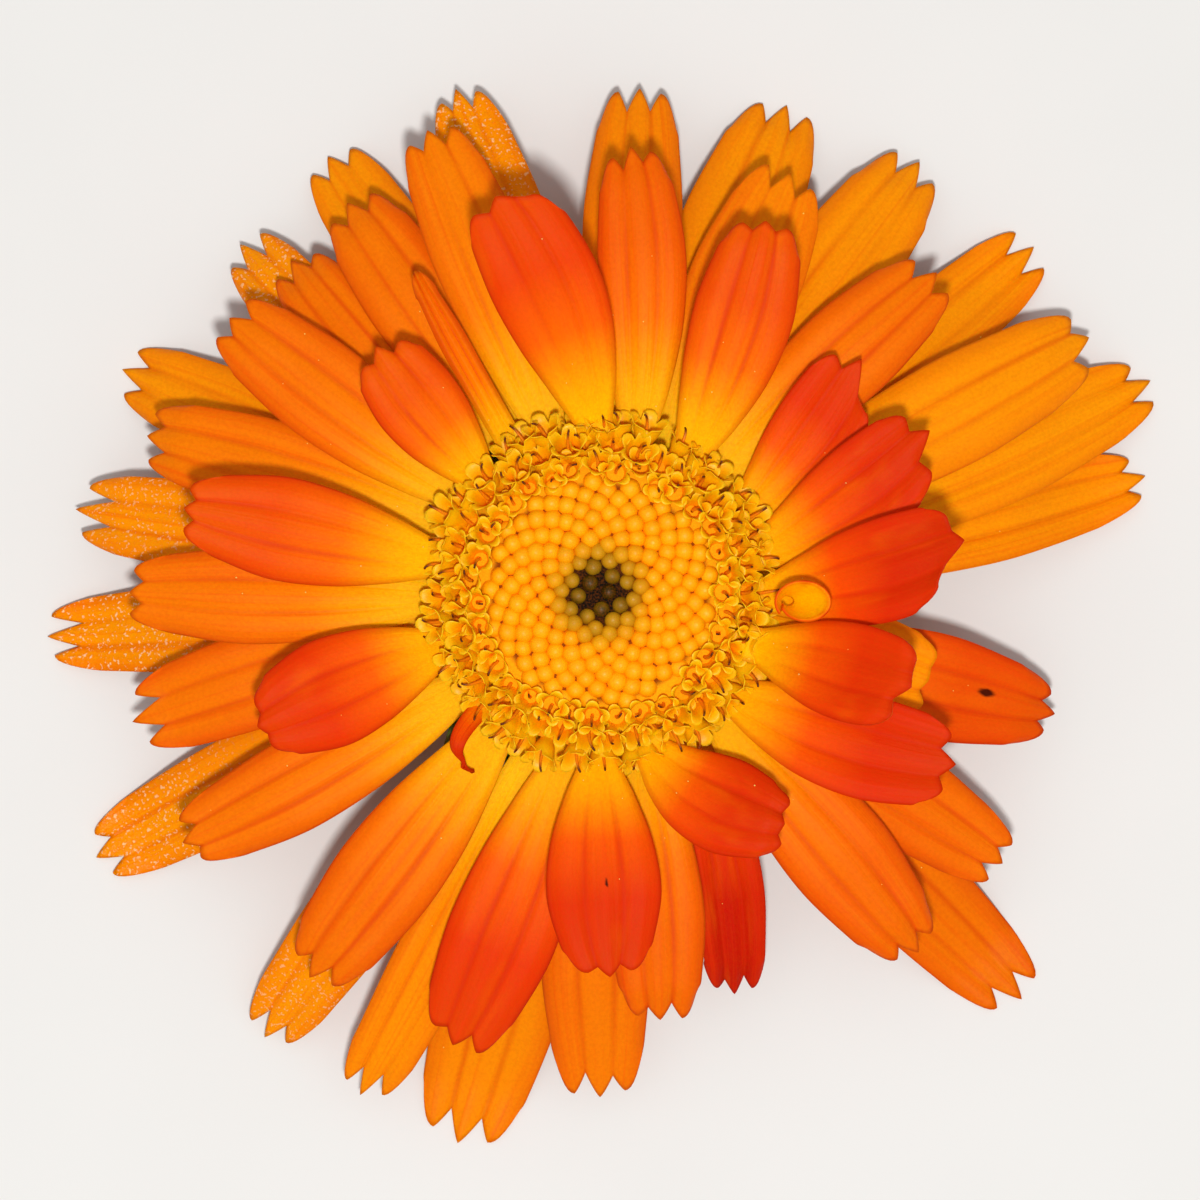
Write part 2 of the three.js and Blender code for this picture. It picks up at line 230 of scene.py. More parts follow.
# Colour ramps: along a ray, up a closed floret, and up an opened one and its style.
GOLDEN = ((0.0, "#FFC800"), (0.2, "#FFBA00"), (0.48, "#FF9E00"), (1.0, "#FF9A00"))
RED = ((0.0, "#FFC400"), (0.2, "#FFA600"), (0.42, "#F66200"), (0.68, "#E23800"), (1.0, "#DC4000"))
CRIMSON = ((0.0, "#FFBC00"), (0.2, "#FF9000"), (0.4, "#E83800"), (0.65, "#C41400"), (1.0, "#B81000"))
AMBER_BEAD = ((0.0, "#6A2600"), (0.4, "#DC7400"), (0.65, "#FF9E00"), (1.0, "#FFAE00"))
OLIVE_BEAD = ((0.0, "#080500"), (0.5, "#5A3C00"), (1.0, "#A87C0C"))
FLORET_OUTSIDE = ((0.0, "#FFA400"), (0.45, "#FFB000"), (1.0, "#FFC008"))
FLORET_INSIDE = ((0.0, "#F08000"), (0.35, "#FF9C00"), (0.62, "#FFB000"), (1.0, "#FFC008"))
STYLE_COLOURS = ((0.0, "#FFA410"), (0.7, "#E07C08"), (0.95, "#5A2404"))

# The camera looks straight down from a long way off.
FRAMED_WIDTH = 64.7 * MM
CAMERA_DISTANCE = 500 * MM
CAMERA_OFF_AXIS = -0.43 * MM
SENSOR_WIDTH = 36
FLOOR_SIZE = 6.0
KEY_PLACE = (0.004, -0.048, 0.4)
KEY_SIZE = 0.03
KEY_POWER = 1.1
OVERHEAD_SOFTNESS = math.radians(80)
OVERHEAD_STRENGTH = 0.35
ROOM_BRIGHTNESS = 0.42

RAY_NAMES = [f"outer_ray_{n:02d}" for n in range(1, 22)]
RAY_NAMES += [f"middle_ray_{n:02d}" for n in range(1, 17)]
RAY_NAMES += [f"inner_ray_{n:02d}" for n in range(1, 15)]
RAY_VALUES = ("along", "across", "rim", "blush", "frost", "under", "seed", "scar", "pollen")
GREEN_VALUES = ("along", "across", "hair", "seed")


def smoothstep(value, low, high):
    """0 below low, 1 above high, and smooth between. Takes numbers and arrays."""
    share = np.clip((value - low) / (high - low), 0, 1)
    return share * share * (3 - 2 * share)


def mix(a, b, share):
    return a + (b - a) * share


def linear(hex_colour):
    """A #rrggbb colour as the linear RGBA that the nodes take."""
    channels = [int(hex_colour[k:k + 2], 16) / 255 for k in (1, 3, 5)]
    return [c / 12.92 if c <= 0.04045 else ((c + 0.055) / 1.055) ** 2.4 for c in channels] + [1.0]


# ---- shapes


class Shape:
    """The points, faces and per-point values of one piece, gathered part by part."""

    def __init__(self, *keys):
        self.points = []
        self.faces = []
        self.values = {key: [] for key in keys}

    def add(self, points, faces, **values):
        start = len(self.points)
        self.points.extend(tuple(p) for p in points)
        self.faces.extend(tuple(start + k for k in face) for face in faces)
        for key, kept in self.values.items():
            value = values.get(key, 0.0)
            kept.extend(value if np.ndim(value) else [value] * len(points))

    def add_sheet(self, upper, lower, root=0.0, lower_along=1.0, **values):
        """A closed sheet between two grids of points, whose rows run along it from its root to 1."""
        rows, columns = upper.shape[0] - 1, upper.shape[1] - 1
        along = np.repeat(np.linspace(root, 1, rows + 1), columns + 1)
        across = np.tile(np.linspace(-1, 1, columns + 1), 2 * (rows + 1))
        both = np.concatenate([upper.reshape(-1, 3), lower.reshape(-1, 3)])
        along = np.concatenate([along, along * lower_along])
        self.add(both, sheet_faces(rows, columns), along=along, across=across, **values)

    def piece(self, name, material, node):
        mesh = bpy.data.meshes.new(name)
        mesh.from_pydata(self.points, [], self.faces)
        mesh.polygons.foreach_set("use_smooth", [True] * len(self.faces))
        for key, kept in self.values.items():
            mesh.attributes.new(key, "FLOAT", "POINT").data.foreach_set("value", kept)
        mesh.materials.append(material)
        obj = bpy.data.objects.new(name, mesh)
        bpy.context.scene.collection.objects.link(obj)
        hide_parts(node)
        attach(obj, "root")
        return obj


def grid_faces(rows, columns, start=0, flip=False):
    """Quads over a grid of (rows + 1) x (columns + 1) points."""
    faces = []
    for i in range(rows):
        for j in range(columns):
            a = start + i * (columns + 1) + j
            quad = (a, a + columns + 1, a + columns + 2, a + 1)
            faces.append(quad[::-1] if flip else quad)
    return faces


def sheet_faces(rows, columns):
    """The faces of a closed sheet: an upper grid, a lower one and the walls between their edges."""
    count = (rows + 1) * (columns + 1)
    faces = grid_faces(rows, columns) + grid_faces(rows, columns, count, flip=True)
    edge = [(0, j) for j in range(columns)] + [(i, columns) for i in range(rows)]
    edge += [(rows, j) for j in range(columns, 0, -1)] + [(i, 0) for i in range(rows, 0, -1)]
    loop = [i * (columns + 1) + j for i, j in edge]
    for a, b in zip(loop, loop[1:] + loop[:1]):
        faces.append((a, b, b + count, a + count))
    return faces


def ring_faces(rows, segments, flip=False):
    """Quads over (rows + 1) rings of points, each closed on itself."""
    faces = []
    for i in range(rows):
        for k in range(segments):
            a = i * segments + k
            b = i * segments + (k + 1) % segments
            quad = (a, b, b + segments, a + segments)
            faces.append(quad[::-1] if flip else quad)
    return faces


def outward_at(bearing):
    """The level direction away from the axis at a bearing."""
    return Vector((math.cos(bearing), math.sin(bearing), 0))


def surface_normals(points):
    """The upward normals of a grid of points."""
    along = np.gradient(points, axis=0)
    across = np.gradient(points, axis=1)
    normals = np.cross(along, across)
    return normals / np.maximum(np.linalg.norm(normals, axis=2, keepdims=True), TINY)


def calm_normals(points):
    """A sheet's normals, with those at its rim taken from a little inside it."""
    normals = surface_normals(points)
    rows, columns = normals.shape[:2]
    inner_rows = np.minimum(np.arange(rows), rows - 1 - CALM_ROWS)
    inner_columns = np.clip(np.arange(columns), CALM_COLUMNS, columns - 1 - CALM_COLUMNS)
    return normals[inner_rows][:, inner_columns]


def smooth_through(knots, points, at):
    """Points at the given places of a smooth curve through points[k] at knots[k]."""
    knots = np.asarray(knots, float)
    spans = np.diff(knots).reshape((-1,) + (1,) * (points.ndim - 1))
    chords = np.diff(points, axis=0) / spans
    slopes = np.empty_like(points)
    slopes[1:-1] = (points[2:] - points[:-2]) / (spans[1:] + spans[:-1])
    slopes[0], slopes[-1] = chords[0], chords[-1]
    steepness = np.linalg.norm(chords, axis=-1, keepdims=True)
    most = 2 * np.minimum(steepness[1:], steepness[:-1])
    lengths = np.linalg.norm(slopes[1:-1], axis=-1, keepdims=True)
    slopes[1:-1] *= np.minimum(1, most / np.maximum(lengths, TINY))
    k = np.clip(np.searchsorted(knots, at, side="right") - 1, 0, len(knots) - 2)
    span = spans[k]
    t = ((at - knots[k]) / np.diff(knots)[k]).reshape(span.shape)
    before = points[k] * (2 * t**3 - 3 * t**2 + 1) + slopes[k] * span * (t**3 - 2 * t**2 + t)
    after = points[k + 1] * (3 * t**2 - 2 * t**3) + slopes[k + 1] * span * (t**3 - t**2)
    return before + after


# ---- reading the CAD sheets


def upper_faces(sheet):
    """The faces of a closed sheet's upper side. Its walls are as high as it is thick all round."""
    heights = {edge: round(edge.calc_length() / LENGTH_STEP) for edge in sheet.edges}
    wall_height = Counter(heights.values()).most_common(1)[0][0]
    seen = {face for edge, height in heights.items() if height == wall_height for face in edge.link_faces}
    sides = []
    for first in sheet.faces:
        if first in seen:
            continue
        side = [first]
        seen.add(first)
        for face in side:
            for edge in face.edges:
                fresh = [other for other in edge.link_faces if other not in seen]
                seen.update(fresh)
                side.extend(fresh)
        sides.append(side)
    return max(sides, key=lambda side: sum(face.normal.z * face.calc_area() for face in side))


def boundary_loop(faces):
    """The points round the edge of some faces, in order."""
    uses = Counter(edge for face in faces for edge in face.edges)
    nexts = {}
    for edge, count in uses.items():
        if count == 1:
            for a, b in (edge.verts, reversed(edge.verts)):
                nexts.setdefault(a, []).append(b)
    loop = [next(iter(nexts))]
    while True:
        ahead = [v for v in nexts[loop[-1]] if v not in loop[-2:]]
        if not ahead or ahead[0] is loop[0]:
            return loop
        loop.append(ahead[0])


def steps_from(chain, neighbours):
    """How many edges each point lies from a chain of points."""
    steps = {v: 0 for v in chain}
    waiting = deque(chain)
    while waiting:
        here = waiting.popleft()
        for other in neighbours[here]:
            if other not in steps:
                steps[other] = steps[here] + 1
                waiting.append(other)
    return steps


def sheet_grid(mesh, axis):
    """A CAD sheet's upper side as an array [row from the root][column from the right] of points."""
    sheet = bmesh.new()
    sheet.from_mesh(mesh)
    bmesh.ops.remove_doubles(sheet, verts=sheet.verts, dist=WELD)
    faces = upper_faces(sheet)
    uses = Counter(v for face in faces for v in face.verts)
    loop = boundary_loop(faces)
    corners = [v for v in loop if uses[v] <= 2]
    roots = sorted(corners, key=lambda v: (v.co.xy - axis).length)[:2]
    start, end = sorted(roots, key=lambda v: -uses[v])
    loop = loop[loop.index(start):] + loop[:loop.index(start)]
    if [v for v in loop if v in corners][1] is not end:
        loop = loop[:1] + loop[:0:-1]
    tips = [loop.index(v) for v in loop if v in corners]
    root_chain = loop[:tips[1] + 1]
    side_chain = loop[tips[3]:] + loop[:1]
    neighbours = {v: set() for v in uses}
    for face in faces:
        for edge in face.edges:
            a, b = edge.verts
            neighbours[a].add(b)
            neighbours[b].add(a)
    row_of = steps_from(root_chain, neighbours)
    column_of = steps_from(side_chain, neighbours)
    grid = np.zeros((len(side_chain), len(root_chain), 3))
    for v in uses:
        grid[row_of[v], column_of[v]] = v.co
    sheet.free()
    return grid


# ---- rays


def shoulder(side, inner, tip):
    """Where a ray's side turns into its outer tooth: just outside the line between them."""
    chord = tip - side
    outward = side - inner
    outward -= chord * (outward @ chord) / (chord @ chord)
    swell = outward / np.linalg.norm(outward) * np.linalg.norm(chord) * SHOULDER_SWELL
    return side + chord * SHOULDER_PLACE + swell


def tip_row(points, behind, chance):
    """The toothed tip line, with slightly bulging flanks between its corners, tooth tips and notches."""
    columns = len(points) - 1
    ahead = points.mean(0) - behind.mean(0)
    ahead /= np.linalg.norm(ahead)
    variety = TOOTH_VARIETY * np.linalg.norm(points[-1] - points[0])
    corners = points.copy()
    for k in range(1, columns):
        corners[k] += ahead * variety * chance.uniform(-1, 1)
    corners[0] = shoulder(behind[0], behind[1], corners[1])
    corners[-1] = shoulder(behind[-1], behind[-2], corners[-2])
    fine = []
    for k in range(columns):
        rises = k % 2 == 0
        flank = SHOULDER_FLANK if k in (0, columns - 1) else TOOTH_FLANK
        step = corners[k + 1] - corners[k]
        lift = step @ ahead
        for t in np.arange(FINE_PER_COLUMN) / FINE_PER_COLUMN:
            risen = 1 - (1 - t) ** flank if rises else t**flank
            fine.append(corners[k] + step * t + ahead * lift * (risen - t))
    fine.append(corners[columns])
    return np.array(fine)


def fine_sheet(grid, axis, chance):
    """The CAD sheet's points filled in: (points, along from 0 to 1, across from -1 to 1)."""
    middle = grid.shape[1] // 2
    inward = Vector(axis) - Vector(grid[0, middle][:2])
    inward = inward.normalized() * CLAW_TAIL
    tail = grid[0] + np.array([inward.x, inward.y, 0])
    rows = np.concatenate([tail[None], grid])
    spans = np.linalg.norm(np.diff(rows[:, middle], axis=0), axis=1)
    row_knots = np.concatenate([[0], np.cumsum(spans)])
    row_knots /= row_knots[-1]
    columns = grid.shape[1] - 1
    fine_columns = np.linspace(0, columns, columns * FINE_PER_COLUMN + 1)
    lines = smooth_through(range(columns + 1), rows.transpose(1, 0, 2), fine_columns).transpose(1, 0, 2)
    lines[-1] = tip_row(rows[-1], rows[-2], chance)
    along = np.linspace(0, 1, FINE_ROWS + 1)
    points = smooth_through(row_knots, lines, along)
    return points, along, fine_columns / columns * 2 - 1


def distance_to_rim(points):
    """How far each point of a sheet is from its nearer side or its tip, in millimetres."""
    steps = np.linalg.norm(np.diff(points, axis=1), axis=2)
    from_right = np.pad(np.cumsum(steps, axis=1), ((0, 0), (1, 0)))
    from_left = from_right[:, -1:] - from_right
    rises = np.linalg.norm(np.diff(points, axis=0), axis=2)
    from_root = np.pad(np.cumsum(rises, axis=0), ((1, 0), (0, 0)))
    from_tip = from_root[-1:] - from_root
    return np.minimum(np.minimum(from_right, from_left), from_tip) / MM


def furrows(across):
    """How deep in a furrow each column is. The two furrows run down from the notches."""
    return np.exp(-(((np.abs(across) - FURROW_AT) / FURROW_WIDTH) ** 2))


def ray_relief(points, along, across, chance):
    """How far each point of a ray's face stands off the smooth sheet."""
    grown = smoothstep(along, 0.04, 0.3)[:, None]
    ribs = RIB_HEIGHT * np.cos(across * math.pi / FURROW_AT) - FURROW_DEPTH * furrows(across)
    edge = -EDGE_DROP * smoothstep(np.abs(across), EDGE_ROLL_FROM, 1)
    curl = TIP_CURL * chance.uniform(-1, 0.5) * smoothstep(along, 0.84, 1)[:, None] ** 2
    seed = Vector((chance.uniform(0, 90), chance.uniform(0, 90), 0))
    flat = points.reshape(-1, 3)
    waves = np.array([noise.noise(Vector(p) / WAVE_LENGTH + seed) for p in flat]).reshape(points.shape[:2])
    waves *= WAVE_HEIGHT * smoothstep(along, 0.15, 0.8)[:, None]
    return grown * (ribs + edge)[None, :] + curl + waves


def scar_depth(name, along, across):
    """How brown each point of a ray is from a small mark on it."""
    if name not in SCARS:
        return np.zeros((len(along), len(across)))
    where, aside, long, wide = SCARS[name]
    return np.exp(-(((along[:, None] - where) / long) ** 2) - (((across[None, :] - aside) / wide) ** 2))


def add_pollen(shape, points, normals, chance):
    """A few grains of pollen lying on a ray."""
    corners = [Vector(c) for c in ((1, 0, 0), (0, 1, 0), (-1, 0, 0), (0, -1, 0), (0, 0, 1), (0, 0, -1))]
    faces = [(k, (k + 1) % 4, 4) for k in range(4)] + [((k + 1) % 4, k, 5) for k in range(4)]
    for _ in range(chance.randint(1, POLLEN_GRAINS)):
        i = int(len(points) * chance.betavariate(2, 3))
        j = chance.randint(4, points.shape[1] - 5)
        size = POLLEN_RADIUS * chance.uniform(0.5, 1.1)
        place = Vector(points[i, j]) + Vector(normals[i, j]) * size * 0.7
        shape.add([place + c * size for c in corners], faces, pollen=1.0)


def build_ray(name, mesh, axis, material):
    """One ray as a thin closed sheet with ribs, furrows and teeth."""
    chance = random.Random(name)
    whorl = name.split("_")[0]
    grid = sheet_grid(mesh, axis)
    points, along, across = fine_sheet(grid, axis, chance)
    rim = distance_to_rim(points)
    points = points + calm_normals(points) * ray_relief(points, along, across, chance)[..., None]
    normals = calm_normals(points)
    thickness = mix(RAY_EDGE_THICKNESS, RAY_THICKNESS, smoothstep(rim, 0, 0.9))
    below = points - normals * thickness[..., None]
    points[..., 2] = np.maximum(points[..., 2], LOWEST + thickness)
    below[..., 2] = np.maximum(below[..., 2], LOWEST)
    frost = np.repeat(FROSTED_AND_GLINTING_RAYS.get(name, 0.0) * smoothstep(along, 0.45, 0.8), len(across))
    shape = Shape(*RAY_VALUES)
    shape.add_sheet(
        points, below,
        rim=np.tile(rim.ravel(), 2),
        blush=RAY_RED_AND_SHADE.get(name, WHORL_RED_AND_SHADE[whorl]),
        frost=np.tile(frost, 2),
        under=np.repeat((0.0, 1.0), rim.size),
        seed=chance.uniform(0, 20),
        scar=np.tile(scar_depth(name, along, across).ravel(), 2),
    )
    add_pollen(shape, points, normals, chance)
    return shape.piece(f"{name}_petal", material, name)


def box_and_direction(name, axis):
    """A node's box and centre, and the level direction from the flower's axis to it."""
    low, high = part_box(name)
    centre = (low + high) / 2
    return low, high, centre, Vector((centre.x - axis.x, centre.y - axis.y, 0)).normalized()


def build_hook(name, axis, material):
    """A small narrow ray that comes out of the disc, arches over and drops its tip to one side."""
    chance = random.Random(name)
    look = HOOKS[name]
    low, high, _, outward = box_and_direction(name, axis)
    aside = Vector((-outward.y, outward.x, 0)) * look["side"]
    up = Vector((0, 0, 1))
    root = Vector((axis.x, axis.y, low.z)) + outward * look["from"]
    crest = root + outward * look["out"] + up * (look["rise"] + high.z - low.z)
    tip = root + outward * look["tip_out"] + aside * look["tip_aside"] + up * look["tip_rise"]
    points = np.zeros((HOOK_ROWS + 1, HOOK_COLUMNS + 1, 3))
    for i in range(HOOK_ROWS + 1):
        share = i / HOOK_ROWS
        place = root * (1 - share) ** 2 + crest * 2 * share * (1 - share) + tip * share**2
        ahead = ((crest - root) * (1 - share) + (tip - crest) * share).normalized()
        across = ahead.cross(up.lerp(-aside, look["twist"] * share)).normalized() * -1
        cup = across.cross(ahead)
        half = look["width"] / 2 * (1 - HOOK_TAPER * share**2)
        for j in range(HOOK_COLUMNS + 1):
            side = 2 * j / HOOK_COLUMNS - 1
            points[i, j] = place + across * (half * side) + cup * (look["cup"] * side * side * share)
    shape = Shape(*RAY_VALUES)
    shape.add_sheet(
        points, points - surface_normals(points) * TRUMPET_SKIN, root=HOOK_ALONG,
        rim=np.tile(distance_to_rim(points).ravel(), 2), blush=RAY_RED_AND_SHADE[name], seed=chance.uniform(0, 20),
    )
    return shape.piece(f"{name}_petal", material, name)


def build_rolled_ray(name, axis, material):
    """The ray that stayed rolled: a trumpet that stands up and shows its oval mouth from above."""
    low, high, centre, outward = box_and_direction(name, axis)
    aside = Vector((-outward.y, outward.x, 0))
    foot = Vector((centre.x, centre.y, low.z - TRUMPET_FOOT_DROP)) - outward * TRUMPET_LEAN
    mouth = Vector((centre.x, centre.y, high.z - TRUMPET_MOUTH_DROP))
    points = np.zeros((TRUMPET_ROWS + 1, TRUMPET_COLUMNS + 1, 3))
    for i in range(TRUMPET_ROWS + 1):
        share = i / TRUMPET_ROWS
        wide = mix(TRUMPET_THROAT, 1, share**TRUMPET_FLARE)
        for j in range(TRUMPET_COLUMNS + 1):
            turn = math.radians(mix(*TRUMPET_TURN, j / TRUMPET_COLUMNS))
            spread = wide * mix(*TRUMPET_OVERLAP, j / TRUMPET_COLUMNS)
            lip = TRUMPET_LIP * share * share * math.cos(turn)
            place = foot.lerp(mouth, share) + outward * (TRUMPET_LONG * spread * math.cos(turn))
            points[i, j] = place + aside * (TRUMPET_WIDE * spread * math.sin(turn)) + Vector((0, 0, lip))
    points = points[:, ::-1]
    outer = points + surface_normals(points) * TRUMPET_SKIN
    near_mouth = smoothstep(np.linspace(TRUMPET_ALONG, 1, TRUMPET_ROWS + 1), 0.86, 0.97)
    inside_blush = np.repeat(near_mouth * TRUMPET_LIP_BLUSH, TRUMPET_COLUMNS + 1)
    outside_blush = np.full(inside_blush.shape, TRUMPET_BLUSH)
    shape = Shape(*RAY_VALUES)
    shape.add_sheet(
        outer, points, root=TRUMPET_ALONG, lower_along=TRUMPET_INSIDE_ALONG,
        rim=1.0, blush=np.concatenate([outside_blush, inside_blush]), seed=4.0,
    )
    return shape.piece(f"{name}_petal", material, name)


# ---- disc


def crown_height(radius):
    """The height of the closed florets' tops at a distance from the axis."""
    dip = EYE_DEPTH * (1 - smoothstep(radius, 0, EYE_RADIUS))
    return CROWN_HEIGHT - dip - CROWN_FALL * (radius / BUD_FIELD_RADIUS) ** 3


def crown_normal(radius, bearing):
    """The direction that a closed floret stands in."""
    step = 0.05 * MM
    slope = (crown_height(radius + step) - crown_height(max(radius - step, 0))) / (2 * step)
    return (Vector((0, 0, 1)) - outward_at(bearing) * float(slope)).normalized()


def dome(radius, valve_turn):
    """A closed floret's bud: a tall bead whose five valves meet at its top. Points and faces."""
    lowest, highest = (math.radians(latitude) for latitude in BUD_LATITUDES)
    points = []
    for ring in range(BUD_RINGS):
        lift = mix(lowest, highest, ring / (BUD_RINGS - 1))
        for k in range(BUD_SEGMENTS):
            turn = TURN * k / BUD_SEGMENTS
            crease = 1 - abs(math.cos(BUD_VALVES / 2 * (turn + valve_turn))) ** 0.5
            wide = radius * math.cos(lift) * (1 - BUD_VALVE_DEPTH * crease * math.sin(max(lift, 0)))
            height = BUD_STEEPNESS * radius * math.sin(lift)
            points.append((wide * math.cos(turn), wide * math.sin(turn), height))
    points.append((0, 0, BUD_STEEPNESS * radius * 0.985))
    points.append((0, 0, points[0][2]))
    faces = ring_faces(BUD_RINGS - 1, BUD_SEGMENTS)
    top, bottom = len(points) - 2, len(points) - 1
    last = (BUD_RINGS - 1) * BUD_SEGMENTS
    for k in range(BUD_SEGMENTS):
        following = (k + 1) % BUD_SEGMENTS
        faces.append((last + k, last + following, top))
        faces.append((following, k, bottom))
    return points, faces


def build_buds(axis, material):
    """The closed florets in their spiral, and the dark bed between them."""
    chance = random.Random("buds")
    shape = Shape("lift", "reach", "tone")
    add_bed(shape, axis)
    for n in range(BUDS):
        share = math.sqrt((n + 0.6) / BUDS)
        radius = BUD_FIELD_RADIUS * share * mix(0.93, 1, share)
        bearing = n * GOLDEN_ANGLE
        grown = smoothstep(radius, 0.2 * BUD_FIELD_RADIUS, 0.8 * BUD_FIELD_RADIUS)
        size = mix(BUD_RADIUS_AT_EYE, BUD_RADIUS, grown) * chance.uniform(0.94, 1.05)
        up = crown_normal(radius, bearing)
        top = Vector((axis.x, axis.y, crown_height(radius))) + outward_at(bearing) * radius
        tilt = Vector((0, 0, 1)).rotation_difference(up).to_matrix()
        sink = size * (BUD_STEEPNESS + chance.uniform(-0.12, 0.22))
        points, faces = dome(size, chance.uniform(0, TURN))
        placed = [top + tilt @ Vector(p) - up * sink for p in points]
        lift = [p[2] / (BUD_STEEPNESS * size) for p in points]
        shape.add(placed, faces, lift=lift, reach=radius / MM, tone=chance.random())
    return shape.piece("disc_closed_florets", material, "disc_buds")


def add_bed(shape, axis):
    """The bed that the florets stand in: a low dome under their shoulders."""
    profile = [(0, BED_FOOT), (BED_RADIUS, BED_FOOT), (BED_RADIUS, BED_SHOULDER)]
    for k in range(BED_STEPS, -1, -1):
        radius = BUD_FIELD_RADIUS * k / BED_STEPS
        profile.append((radius, float(crown_height(radius)) - BED_DEPTH))
    start = len(shape.points)
    lathe(shape, axis, profile, BED_SEGMENTS, lift=-1.0, tone=0.5)
    reach = [(Vector(p).xy - axis).length / MM for p in shape.points[start:]]
    shape.values["reach"][start:] = reach


def floret_point(turn, share, ring, inside):
    """A point of an opened floret: a tube that widens to a mouth with five flaring lobes."""
    lobe = abs(math.cos(turn * FLORET_LOBES / 2)) ** 0.7
    end = mix(LOBE_FROM, 1.0, lobe)
    s = share * end
    opened = max(s - LOBE_FROM, 0) / (1 - LOBE_FROM)
    radius = mix(FLORET_THROAT, ring["mouth"], smoothstep(s, 0.05, LOBE_FROM))
    radius += LOBE_FLARE * opened**1.3
    height = ring["length"] * (s - 0.16 * opened * opened)
    if inside:
        radius -= FLORET_SKIN * (1 - 0.6 * opened)
        height += FLORET_SKIN * opened
    return Vector((radius * math.cos(turn), radius * math.sin(turn), height))


def add_floret(shape, place, ring, tone):
    """One opened floret, outside and inside, as a closed shell whose tube has a floor."""
    width = FLORET_SEGMENTS
    start = len(shape.points)
    for inside in (False, True):
        points = []
        for i in range(FLORET_ROWS + 1):
            share = i / FLORET_ROWS
            points += [floret_point(TURN * k / width, share, ring, inside) for k in range(width)]
        lift = [(n // width) / FLORET_ROWS for n in range(len(points))]
        faces = ring_faces(FLORET_ROWS, width, flip=inside)
        shape.add([place @ p for p in points], faces, lift=lift, inside=float(inside), tone=tone)
    inner = start + width * (FLORET_ROWS + 1)
    rim = FLORET_ROWS * width
    for k in range(width):
        a, b = rim + k, rim + (k + 1) % width
        shape.faces.append((start + a, start + b, inner + b, inner + a))
    shape.faces.append(tuple(inner + k for k in range(width)))
    shape.faces.append(tuple(start + width - 1 - k for k in range(width)))


def add_tube(shape, centres, radii, sides, **values):
    """A closed tube through some points."""
    points = []
    for k, centre in enumerate(centres):
        ahead = centres[min(k + 1, len(centres) - 1)] - centres[max(k - 1, 0)]
        turned = ahead.to_track_quat("Z", "Y").to_matrix()
        points += [centre + turned @ outward_at(TURN * n / sides) * radii[k] for n in range(sides)]
    faces = ring_faces(len(centres) - 1, sides)
    faces.append(tuple(range(sides))[::-1])
    faces.append(tuple(range(len(points) - sides, len(points))))
    shape.add(points, faces, **values)


def add_style(shape, place, ring, chance):
    """The style that stands out of an opened floret and curls over at its brown tip."""
    bend = chance.uniform(0, TURN)
    curl = chance.uniform(0.25, 0.6) * MM
    shares = [k / STYLE_STEPS for k in range(STYLE_STEPS + 1)]
    centres = []
    for share in shares:
        over = curl * share**2.5
        height = ring["length"] * mix(0.3, 1.12, share) - 0.5 * curl * share**6
        centres.append(place @ Vector((over * math.cos(bend), over * math.sin(bend), height)))
    radii = [STYLE_RADIUS * mix(1.5, 0.75, share) for share in shares]
    lift = np.repeat(np.linspace(1.2, 2.2, STYLE_STEPS + 1), STYLE_SIDES)
    add_tube(shape, centres, radii, STYLE_SIDES, lift=lift, inside=0.0, tone=chance.random())


def build_open_florets(axis, material):
    """The rings of opened florets round the closed ones."""
    chance = random.Random("open florets")
    shape = Shape("lift", "inside", "tone")
    for ring in FLORET_RINGS:
        for n in range(ring["count"]):
            bearing = TURN * (n + chance.uniform(-0.22, 0.22)) / ring["count"]
            radius = ring["radius"] + chance.uniform(-0.25, 0.25) * MM
            lean = math.radians(ring["lean"] + chance.uniform(-9, 12))
            height = ring["height"] + chance.uniform(-0.2, 0.15) * MM
            foot = Vector((axis.x, axis.y, height)) + outward_at(bearing) * radius
            place = Matrix.Translation(foot)
            place @= Matrix.Rotation(bearing + chance.uniform(-0.15, 0.15), 4, "Z")
            place @= Matrix.Rotation(lean, 4, "Y")
            place @= Matrix.Rotation(chance.uniform(0, TURN), 4, "Z")
            place @= Matrix.Scale(chance.uniform(0.88, 1.1), 4)
            add_floret(shape, place, ring, chance.random())
            add_style(shape, place, ring, chance)
    return shape.piece("disc_opened_florets", material, "disc_open_florets")


# ---- green parts


def lathe(shape, axis, profile, segments, **values):
    """A closed solid of revolution from a profile of (radius, height), both ends on the axis."""
    points = []
    for radius, height in profile[1:-1]:
        centre = Vector((axis.x, axis.y, height))
        points += [centre + outward_at(TURN * k / segments) * radius for k in range(segments)]
    rows = len(profile) - 2
    faces = ring_faces(rows - 1, segments)
    points.append((axis.x, axis.y, profile[0][1]))
    points.append((axis.x, axis.y, profile[-1][1]))
    last = (rows - 1) * segments
    for k in range(segments):
        following = (k + 1) % segments
        faces.append((following, k, len(points) - 2))
        faces.append((last + k, last + following, len(points) - 1))
    shape.add(points, faces, **values)


def build_receptacle(axis, material):
    """The green base under the disc, filling its CAD piece's box."""
    low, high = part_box("receptacle")
    radius = (high.x - low.x) / 2
    profile = [(0, low.z)]
    profile += [(out * radius, mix(low.z, high.z, up)) for out, up in RECEPTACLE_PROFILE]
    profile.append((0, high.z))
    shape = Shape(*GREEN_VALUES)
    lathe(shape, axis, profile, RECEPTACLE_SEGMENTS, along=0.3, seed=3.0)
    return shape.piece("receptacle_body", material, "receptacle")


